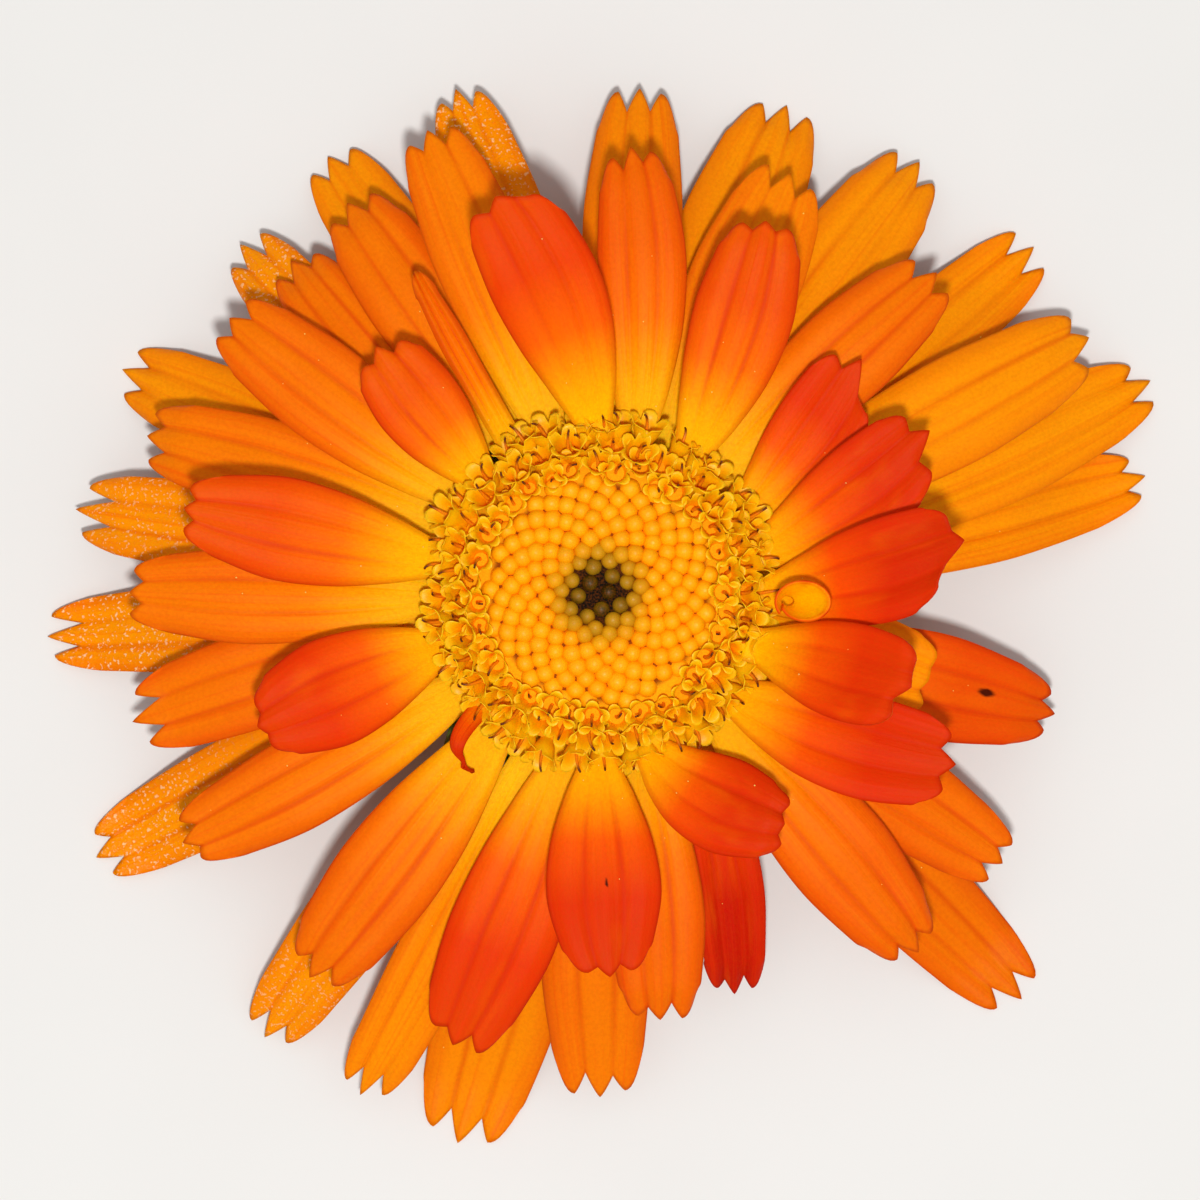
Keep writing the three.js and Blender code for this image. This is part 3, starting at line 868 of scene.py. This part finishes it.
def bract_point(tip, turn, heights, share, side):
    """A point of a pointed blade that runs out from the stem at a bearing, for a side from -1 to 1."""
    full_tip, end = tip
    shoulder = BRACT_SHOULDER * full_tip
    radius = mix(BRACT_FOOT, end, share)
    half = BRACT_HALF_WIDTH * min(radius, shoulder)
    if radius > shoulder:
        past = (radius - shoulder) / (end - shoulder)
        half *= max(1 - past**1.5, 0.0) * (1 - 0.15 * past)
    height = mix(*heights, smoothstep(radius, BRACT_FOOT, shoulder))
    height -= BRACT_TIP_DROP * smoothstep(radius, shoulder, full_tip)
    height += BRACT_CUP * side * side * (1 - share)
    outward = outward_at(turn)
    across = Vector((-outward.y, outward.x, 0))
    return outward * radius + across * (half * side) + Vector((0, 0, float(height)))


def build_bracts(name, node, axis, first_turn, heights, material):
    """One row of bracts: separate pointed blades with a keel and hairs on their backs and margins."""
    chance = random.Random(name)
    low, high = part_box(node)
    full_tip = (high.x - low.x) / 2
    keel = 1 - np.abs(np.linspace(-1, 1, BRACT_COLUMNS + 1))
    shape = Shape(*GREEN_VALUES)
    for n in range(BRACTS_IN_A_ROW):
        turn = first_turn + TURN * n / BRACTS_IN_A_ROW
        tip = (full_tip, full_tip * chance.uniform(0.93, 1.0))
        sway = chance.uniform(-0.05, 0.05)
        lift = chance.uniform(-0.08, 0.08) * MM
        foot = Vector((axis.x, axis.y, lift))
        upper = np.zeros((BRACT_ROWS + 1, BRACT_COLUMNS + 1, 3))
        for i in range(BRACT_ROWS + 1):
            share = i / BRACT_ROWS
            bearing = turn + sway * share * share
            for j in range(BRACT_COLUMNS + 1):
                side = 2 * j / BRACT_COLUMNS - 1
                upper[i, j] = foot + bract_point(tip, bearing, heights, share, side)
        lower = upper.copy()
        lower[..., 2] -= BRACT_THICKNESS + BRACT_KEEL * keel[None, :]
        shape.add_sheet(upper, lower, seed=chance.uniform(0, 20))
        add_bract_hairs(shape, lower, chance)
    return shape.piece(name, material, node)


def add_bract_hairs(shape, lower, chance):
    """Short hairs on a bract's back and, denser, on its margins."""
    edges = (0, 0, BRACT_COLUMNS, BRACT_COLUMNS)
    for _ in range(BRACT_HAIRS):
        i = chance.randint(6, BRACT_ROWS - 1)
        j = chance.choice(edges + (chance.randint(1, BRACT_COLUMNS - 1),))
        root = Vector(mix(lower[i, j], lower[i + 1, j], chance.random()))
        middle = Vector(lower[i, BRACT_COLUMNS // 2])
        out = (root - middle).normalized() if j in edges else Vector((0, 0, -1))
        out = (out + Vector((0, 0, -0.4)) + random_vector(chance) * 0.45).normalized()
        add_hair(shape, root, out, chance.uniform(0.2, 0.5) * MM)


def random_vector(chance):
    return Vector((chance.uniform(-1, 1), chance.uniform(-1, 1), chance.uniform(-1, 1)))


def add_hair(shape, root, out, length):
    """One tapering hair with three sides."""
    turned = out.to_track_quat("Z", "Y").to_matrix()
    points = [root + turned @ outward_at(TURN * k / 3) * HAIR_RADIUS for k in range(3)]
    points.append(root + out * length)
    points = [(p.x, p.y, max(p.z, LOWEST)) for p in points]
    shape.add(points, [(2, 1, 0), (0, 1, 3), (1, 2, 3), (2, 0, 3)], hair=1.0, along=0.5)


def build_stem(axis, material):
    """The cut stem: ribbed, hairy and a little wider where the bracts leave it."""
    chance = random.Random("stem")
    points = []
    for i in range(STEM_ROWS + 1):
        share = i / STEM_ROWS
        centre = Vector((axis.x, axis.y, STEM_TOP * share))
        for k in range(STEM_SEGMENTS):
            bearing = TURN * k / STEM_SEGMENTS
            ribs = 0.5 + 0.5 * math.cos(STEM_RIBS * bearing)
            radius = STEM_RADIUS * (0.97 + 0.06 * ribs**0.7 + 0.1 * share**3)
            if i in (0, STEM_ROWS):
                radius *= 0.985
            points.append(centre + outward_at(bearing) * radius)
    count = len(points)
    faces = ring_faces(STEM_ROWS, STEM_SEGMENTS)
    faces.append(tuple(range(STEM_SEGMENTS))[::-1])
    faces.append(tuple(range(count - STEM_SEGMENTS, count)))
    shape = Shape(*GREEN_VALUES)
    shape.add(
        points, faces, seed=9.0,
        along=[(n // STEM_SEGMENTS) / STEM_ROWS for n in range(count)],
        across=[STEM_RIBS * (n % STEM_SEGMENTS) / STEM_SEGMENTS for n in range(count)],
    )
    for _ in range(STEM_HAIRS):
        outward = outward_at(chance.uniform(0, TURN))
        height = chance.uniform(*STEM_HAIR_HEIGHTS)
        root = Vector((axis.x, axis.y, height)) + outward * STEM_RADIUS * 0.99
        out = (outward + random_vector(chance) * 0.35).normalized()
        add_hair(shape, root, out, chance.uniform(0.25, 0.6) * MM)
    return shape.piece("cut_stem", material, "stem_stub")


# ---- materials


# A mix node keeps its colour sockets at these places.
COLOUR_A = 6
COLOUR_B = 7
COLOUR_OUT = 2


class Nodes:
    """A material's node tree, built one node at a time."""

    def __init__(self, name):
        self.material = bpy.data.materials.new(name)
        self.material.use_nodes = True
        self.tree = self.material.node_tree
        self.shader = self.tree.nodes["Principled BSDF"]

    def link(self, source, target):
        self.tree.links.new(source, target)

    def attribute(self, key):
        node = self.tree.nodes.new("ShaderNodeAttribute")
        node.attribute_name = key
        return node.outputs["Fac"]

    def put(self, value, socket):
        if isinstance(value, bpy.types.NodeSocket):
            self.link(value, socket)
        else:
            socket.default_value = value

    def math(self, operation, a, b=0.0):
        node = self.tree.nodes.new("ShaderNodeMath")
        node.operation = operation
        self.put(a, node.inputs[0])
        self.put(b, node.inputs[1])
        return node.outputs[0]

    def times(self, a, b):
        return self.math("MULTIPLY", a, b)

    def between(self, value, low, high, to_low=0.0, to_high=1.0):
        node = self.tree.nodes.new("ShaderNodeMapRange")
        node.interpolation_type = "SMOOTHSTEP"
        self.put(value, node.inputs["Value"])
        node.inputs["From Min"].default_value = low
        node.inputs["From Max"].default_value = high
        node.inputs["To Min"].default_value = to_low
        node.inputs["To Max"].default_value = to_high
        return node.outputs["Result"]

    def ramp(self, value, *stops):
        node = self.tree.nodes.new("ShaderNodeValToRGB")
        points = node.color_ramp.elements
        while len(points) < len(stops):
            points.new(0.5)
        for point, (position, colour) in zip(points, stops):
            point.position = position
            point.color = linear(colour)
        self.put(value, node.inputs["Fac"])
        return node.outputs["Color"]

    def blend(self, share, a, b):
        node = self.tree.nodes.new("ShaderNodeMix")
        node.data_type = "RGBA"
        self.put(share, node.inputs["Factor"])
        self.put(a, node.inputs[COLOUR_A])
        self.put(b, node.inputs[COLOUR_B])
        return node.outputs[COLOUR_OUT]

    def tint(self, colour, share, hex_colour):
        return self.blend(share, colour, linear(hex_colour))

    def vector(self, x, y, z):
        node = self.tree.nodes.new("ShaderNodeCombineXYZ")
        for value, socket in zip((x, y, z), node.inputs):
            self.put(value, socket)
        return node.outputs[0]

    def place(self):
        return self.tree.nodes.new("ShaderNodeTexCoord").outputs["Object"]

    def strands(self, across, along):
        """Long streaks over a blade, each one different by its seed."""
        stretched_across = self.times(self.attribute("across"), across)
        stretched_along = self.times(self.attribute("along"), along)
        return self.noise(self.vector(stretched_across, stretched_along, self.attribute("seed")), 1.0)

    def noise(self, where, scale, detail=2.0):
        node = self.tree.nodes.new("ShaderNodeTexNoise")
        self.link(where, node.inputs["Vector"])
        node.inputs["Scale"].default_value = scale
        node.inputs["Detail"].default_value = detail
        return node.outputs["Fac"]

    def bump(self, height, distance, strength=1.0):
        node = self.tree.nodes.new("ShaderNodeBump")
        node.inputs["Distance"].default_value = distance
        self.put(strength, node.inputs["Strength"])
        self.link(height, node.inputs["Height"])
        self.link(node.outputs["Normal"], self.shader.inputs["Normal"])

    def finish(self, colour, roughness, **constants):
        self.put(colour, self.shader.inputs["Base Color"])
        self.put(roughness, self.shader.inputs["Roughness"])
        for name, value in constants.items():
            self.shader.inputs[name.replace("_", " ")].default_value = value
        return self.material


def ray_material():
    """A ray's skin: yellow at the claw, golden or red at the blade, with veins, furrows and frosted tips.
    The red is partly painted shade, the furrows, flanks and rim are darkened with painted shade, and the
    frosted tips carry painted glints.
    """
    n = Nodes("ray_skin")
    along, across, blush = n.attribute("along"), n.attribute("across"), n.attribute("blush")
    # Partly painted shade: redder rays stand in for the raised inner rays getting less light, and the
    # deepest go crimson.
    warm = n.blend(blush, n.ramp(along, *GOLDEN), n.ramp(along, *RED))
    colour = n.blend(n.between(blush, 0.9, 1.6), warm, n.ramp(along, *CRIMSON))
    strands = n.strands(9.0, 0.9)
    patches = n.strands(1.6, 2.2)
    grown = n.between(along, 0.12, 0.5)
    streak = n.times(n.between(strands, 0.45, 0.8), grown)
    colour = n.tint(colour, n.times(streak, 0.34), "#E83800")
    colour = n.tint(colour, n.times(n.between(patches, 0.55, 0.85), 0.25), "#FF8A00")
    side = n.math("ABSOLUTE", across)
    # Painted shade: the two furrows are tinted deep red, more so on redder rays and in patches.
    in_furrow = n.math("ABSOLUTE", n.math("SUBTRACT", side, FURROW_AT))
    furrow = n.times(n.between(in_furrow, 0.0, 0.11, 1.0, 0.0), grown)
    deepening = n.times(n.between(blush, 0.0, 1.0, 0.3, 0.55), n.between(patches, 0.3, 0.65, 0.3, 1.0))
    colour = n.tint(colour, n.times(furrow, deepening), "#CC2000")
    # Painted shade: the blade grows redder towards both sides, as where they curve away from the light,
    # more so on redder rays.
    flank = n.times(n.between(side, 0.45, 1.0), grown)
    colour = n.tint(colour, n.times(flank, n.between(blush, 0.0, 1.0, 0.26, 0.42)), "#E03000")
    # Painted shadow: a deep red band along the blade's sides and tip, within about 0.4 mm of its rim.
    rim = n.between(n.attribute("rim"), 0.02, 0.42, 1.0, 0.0)
    colour = n.tint(colour, n.times(rim, n.between(blush, 0.2, 1.0, 0.16, 0.45)), "#B01800")
    colour = n.tint(colour, n.times(n.attribute("under"), 0.5), "#E07818")
    grain = n.noise(n.place(), 5200.0, 1.0)
    colour = n.tint(colour, n.between(grain, 0.3, 0.75, 0.0, 0.14), "#C04000")
    frost = n.attribute("frost")
    # Painted glints: pale flecks in the colour of the frosted tips.
    glint = n.times(n.between(grain, 0.58, 0.72), frost)
    colour = n.tint(colour, n.times(glint, 0.65), "#FFE0B0")
    colour = n.tint(colour, n.between(n.attribute("scar"), 0.25, 0.7), "#4A1000")
    colour = n.tint(colour, n.attribute("pollen"), "#FFE070")
    roughness = n.between(frost, 0.0, 1.0, 0.52, 0.3)
    rough_grain = n.times(grain, n.between(frost, 0, 1, 0.5, 3.0))
    n.bump(n.math("ADD", n.times(strands, 2.0), rough_grain), 0.03 * MM, 0.8)
    return n.finish(
        colour, roughness, Subsurface_Weight=0.25, Subsurface_Radius=(1.0, 0.35, 0.08),
        Subsurface_Scale=0.4 * MM, Specular_IOR_Level=0.05,
    )


def bud_material():
    """The closed florets: amber beads, olive and dark brown towards the sunken eye."""
    n = Nodes("closed_floret_skin")
    lift, reach, tone = n.attribute("lift"), n.attribute("reach"), n.attribute("tone")
    height = n.between(lift, -0.75, 0.9)
    tinted = n.tint(n.ramp(height, *AMBER_BEAD), n.times(tone, 0.22), "#FF8C00")
    tinted = n.tint(tinted, n.between(reach, 5.6, 6.1), "#FFB004")
    wobble = n.math("SUBTRACT", n.noise(n.place(), 700.0), 0.5)
    reach_here = n.math("ADD", reach, n.times(wobble, 1.4))
    colour = n.blend(n.between(reach_here, 0.9, 3.5, 1.0, 0.0), tinted, n.ramp(height, *OLIVE_BEAD))
    colour = n.tint(colour, n.between(reach_here, 0.4, 1.5, 0.9, 0.0), "#0E0802")
    grain = n.noise(n.place(), 9000.0, 1.0)
    colour = n.tint(colour, n.between(grain, 0.35, 0.75, 0.0, 0.16), "#C86000")
    n.bump(grain, 0.02 * MM, 0.7)
    gloss = n.between(grain, 0.2, 0.8, 0.4, 0.5)
    return n.finish(
        colour, n.math("MAXIMUM", gloss, n.between(lift, -1.0, -0.6, 1.0, 0.4)),
        Subsurface_Weight=0.15, Subsurface_Radius=(1.0, 0.4, 0.1), Subsurface_Scale=0.2 * MM,
        Specular_IOR_Level=0.2,
    )


def floret_material():
    """The opened florets: yellow lobes, orange throats and brown style tips."""
    n = Nodes("opened_floret_skin")
    lift, inside, tone = n.attribute("lift"), n.attribute("inside"), n.attribute("tone")
    colour = n.blend(inside, n.ramp(lift, *FLORET_OUTSIDE), n.ramp(lift, *FLORET_INSIDE))
    colour = n.tint(colour, n.times(tone, 0.25), "#FFA000")
    style = n.ramp(n.math("SUBTRACT", lift, 1.1), *STYLE_COLOURS)
    colour = n.blend(n.between(lift, 1.1, 1.3), colour, style)
    grain = n.noise(n.place(), 4200.0)
    colour = n.tint(colour, n.between(grain, 0.4, 0.8, 0.0, 0.14), "#F08000")
    n.bump(grain, 0.02 * MM, 0.8)
    return n.finish(
        colour, n.between(grain, 0.2, 0.8, 0.34, 0.5), Subsurface_Weight=0.3,
        Subsurface_Radius=(1.0, 0.45, 0.1), Subsurface_Scale=0.3 * MM, Specular_IOR_Level=0.2,
    )


def green_material(name, dark, mid, pale):
    """Leafy green with lengthwise veins, and pale hairs."""
    n = Nodes(name)
    veins = n.strands(5.0, 1.5)
    colour = n.ramp(n.between(veins, 0.25, 0.75), (0.0, dark), (0.5, mid), (1.0, pale))
    mottle = n.noise(n.place(), 1500.0)
    colour = n.tint(colour, n.between(mottle, 0.4, 0.8, 0.0, 0.35), pale)
    colour = n.tint(colour, n.between(n.attribute("along"), 0.86, 1.0, 0.0, 0.55), "#8A6A3A")
    colour = n.tint(colour, n.attribute("hair"), "#E4E8C8")
    n.bump(n.math("ADD", veins, mottle), 0.05 * MM, 0.6)
    return n.finish(
        colour, n.between(mottle, 0.2, 0.8, 0.5, 0.68), Subsurface_Weight=0.12,
        Subsurface_Radius=(0.4, 1.0, 0.2), Subsurface_Scale=0.3 * MM, Specular_IOR_Level=0.3,
    )


def floor_material():
    """A pale, matt surface with faint unevenness."""
    n = Nodes("pale_floor")
    uneven = n.between(n.noise(n.place(), 60.0), 0.3, 0.7, 0.0, 0.25)
    return n.finish(n.blend(uneven, linear("#E4E2DE"), linear("#DEDCD8")), 0.85, Specular_IOR_Level=0.1)


# ---- stage


def add_object(name, data):
    obj = bpy.data.objects.new(name, data)
    bpy.context.scene.collection.objects.link(obj)
    return obj


def add_lights(axis, target):
    """A small key light near the camera's line, and a wide soft one straight overhead."""
    key = bpy.data.lights.new("key_light", "AREA")
    key.shape = "DISK"
    key.size = KEY_SIZE
    key.energy = KEY_POWER
    lamp = add_object("key_light", key)
    lamp.location = (axis.x + KEY_PLACE[0], axis.y + KEY_PLACE[1], KEY_PLACE[2])
    lamp.rotation_euler = (target - lamp.location).to_track_quat("-Z", "Y").to_euler()
    overhead = bpy.data.lights.new("overhead_light", "SUN")
    overhead.angle = OVERHEAD_SOFTNESS
    overhead.energy = OVERHEAD_STRENGTH
    add_object("overhead_light", overhead)


def build_stage(axis, middle_height):
    """The pale floor, the soft lights, the surroundings and the camera."""
    half = FLOOR_SIZE / 2
    mesh = bpy.data.meshes.new("floor")
    corners = [(-half, -half, 0), (half, -half, 0), (half, half, 0), (-half, half, 0)]
    mesh.from_pydata(corners, [], [(0, 1, 2, 3)])
    mesh.materials.append(floor_material())
    add_object("floor", mesh)
    add_lights(axis, Vector((axis.x, axis.y, middle_height)))

    world = bpy.data.worlds.new("pale_room")
    bpy.context.scene.world = world
    world.use_nodes = True
    background = world.node_tree.nodes["Background"]
    background.inputs["Color"].default_value = linear("#F2F3F5")
    background.inputs["Strength"].default_value = ROOM_BRIGHTNESS

    camera = add_object("camera", bpy.data.cameras.new("camera"))
    camera.location = (axis.x, axis.y + CAMERA_OFF_AXIS, middle_height + CAMERA_DISTANCE)
    camera.data.sensor_width = SENSOR_WIDTH
    camera.data.lens = SENSOR_WIDTH * CAMERA_DISTANCE / FRAMED_WIDTH
    camera.data.clip_start = 0.01
    camera.data.clip_end = 20
    bpy.context.scene.camera = camera
    bpy.context.scene.view_settings.view_transform = "Standard"


def main():
    """Dress every node of the frame and set the stage."""
    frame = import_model()
    disc_low, disc_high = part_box("disc_buds")
    axis = ((disc_low + disc_high) / 2).xy

    petal_skin = ray_material()
    for name in RAY_NAMES:
        build_ray(name, frame["nodes"][name].data, axis, petal_skin)
    for name in HOOKS:
        build_hook(name, axis, petal_skin)
    build_rolled_ray("rolled_ray", axis, petal_skin)
    build_buds(axis, bud_material())
    build_open_florets(axis, floret_material())

    leaf = green_material("bract_green", "#3E5A1C", "#5C7E2A", "#86A04A")
    build_receptacle(axis, leaf)
    half_step = TURN / (2 * BRACTS_IN_A_ROW)
    build_bracts("inner_bract_blades", "inner_bracts", axis, 0.0, INNER_BRACT_HEIGHTS, leaf)
    build_bracts("outer_bract_blades", "outer_bracts", axis, half_step, OUTER_BRACT_HEIGHTS, leaf)
    build_stem(axis, green_material("stem_green", "#5C7830", "#7C9440", "#A4B468"))

    build_stage(axis, 6 * MM)


main()
